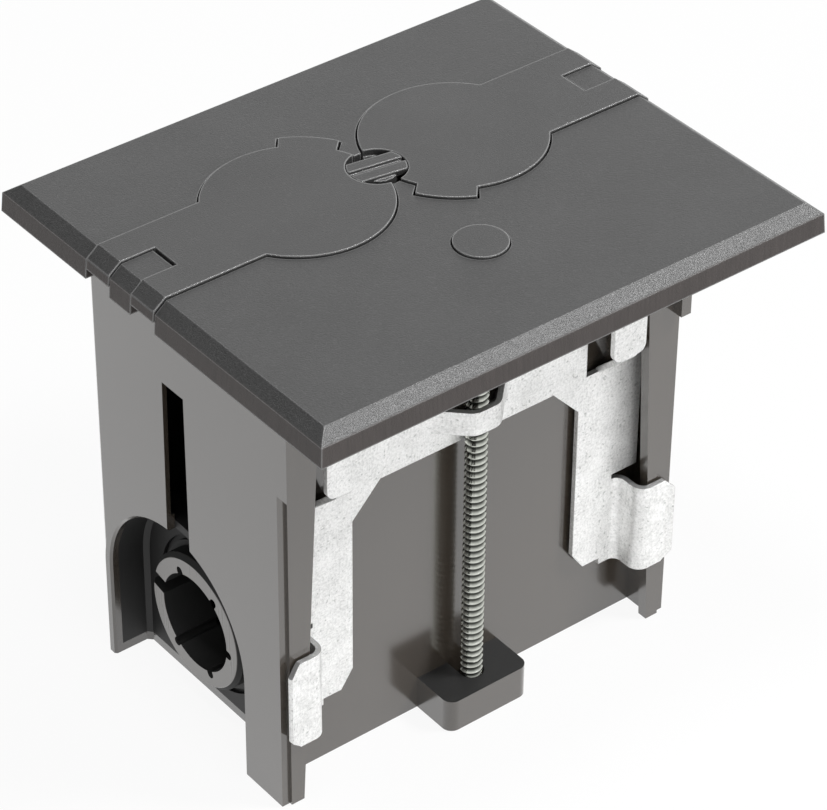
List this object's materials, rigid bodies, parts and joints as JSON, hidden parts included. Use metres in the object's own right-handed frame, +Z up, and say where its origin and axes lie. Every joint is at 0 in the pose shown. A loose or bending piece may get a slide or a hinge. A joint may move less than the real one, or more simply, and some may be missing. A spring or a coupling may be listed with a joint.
{
  "type": "floor socket box",
  "caption": "Floor socket box: bevelled cover plate with two hinged lids over a receptacle, moulded box and screw-driven clamp bracket.",
  "frame": {"origin": "on the plane of the box's bottom, under the centre of the cover plate", "axes": "+Z up through the cover plate; +X along the plate's long edge, away from the cable connector; -Y towards the clamp screw"},
  "size_m": [0.1242, 0.1052, 0.1175],
  "materials": {
    "cover_plastic": "fine moulded texture",
    "box_plastic": "satin moulded",
    "connector_plastic": "satin moulded",
    "zinc_sheet": "hot-dip zinc",
    "plated_steel": "zinc plated",
    "pin_steel": "drawn",
    "gasket_rubber": "soft foam",
    "receptacle_plastic": "moulded",
    "contact_brass": "stamped"
  },
  "bodies": {
    "base": {"box_body": "box_plastic", "clamp_track": "box_plastic", "device_bosses": "box_plastic", "cover_plate": "cover_plastic", "hinge_pin_left": "pin_steel", "hinge_pin_right": "pin_steel", "lid_gaskets": "gasket_rubber", "cover_screw": "plated_steel", "cable_connector": "connector_plastic", "receptacle_face": "receptacle_plastic", "receptacle_body": "receptacle_plastic", "mounting_yoke": "plated_steel", "blade_contacts": "contact_brass", "ground_contacts": "contact_brass", "terminal_screws": "contact_brass", "device_screws": "plated_steel"},
    "left_lid": {"lid_left": "cover_plastic"},
    "right_lid": {"lid_right": "cover_plastic"},
    "lock": {"lid_lock": "cover_plastic"},
    "plug": {"access_plug": "cover_plastic"},
    "clamp": {"clamp_bracket": "zinc_sheet"},
    "screw": {"clamp_screw": "plated_steel", "screw_retainer": "plated_steel"}
  },
  "joints": [
    {"name": "left_lid_hinge", "type": "hinge", "parent": "base", "child": "left_lid", "pos_m": [-0.0595, 0.0114, 0.1146], "axis": [0, -1, 0], "range_deg": [0, 180]},
    {"name": "right_lid_hinge", "type": "hinge", "parent": "base", "child": "right_lid", "pos_m": [0.0595, 0.0114, 0.1146], "axis": [0, 1, 0], "range_deg": [0, 180]},
    {"name": "lock_turn", "type": "hinge", "parent": "base", "child": "lock", "pos_m": [0, 0.0114, 0.116], "axis": [0, 0, 1], "range_deg": [0, 90]},
    {"name": "plug_lift", "type": "slide", "parent": "base", "child": "plug", "axis": [0, 0, 1], "range_m": [0, 0.02]},
    {"name": "screw_turn", "type": "hinge", "parent": "base", "child": "screw", "pos_m": [0, -0.0214, 0.06], "axis": [0, 0, -1], "range_deg": [-3175.8, 2949]},
    {"name": "clamp_slide", "type": "slide", "parent": "base", "child": "clamp", "axis": [0, 0, 1], "range_m": [-0.014, 0.013]}
  ],
  "couplings": [
    {"joint": "screw_turn", "follows": "clamp_slide", "rad_per_m": 3957.9}
  ]
}
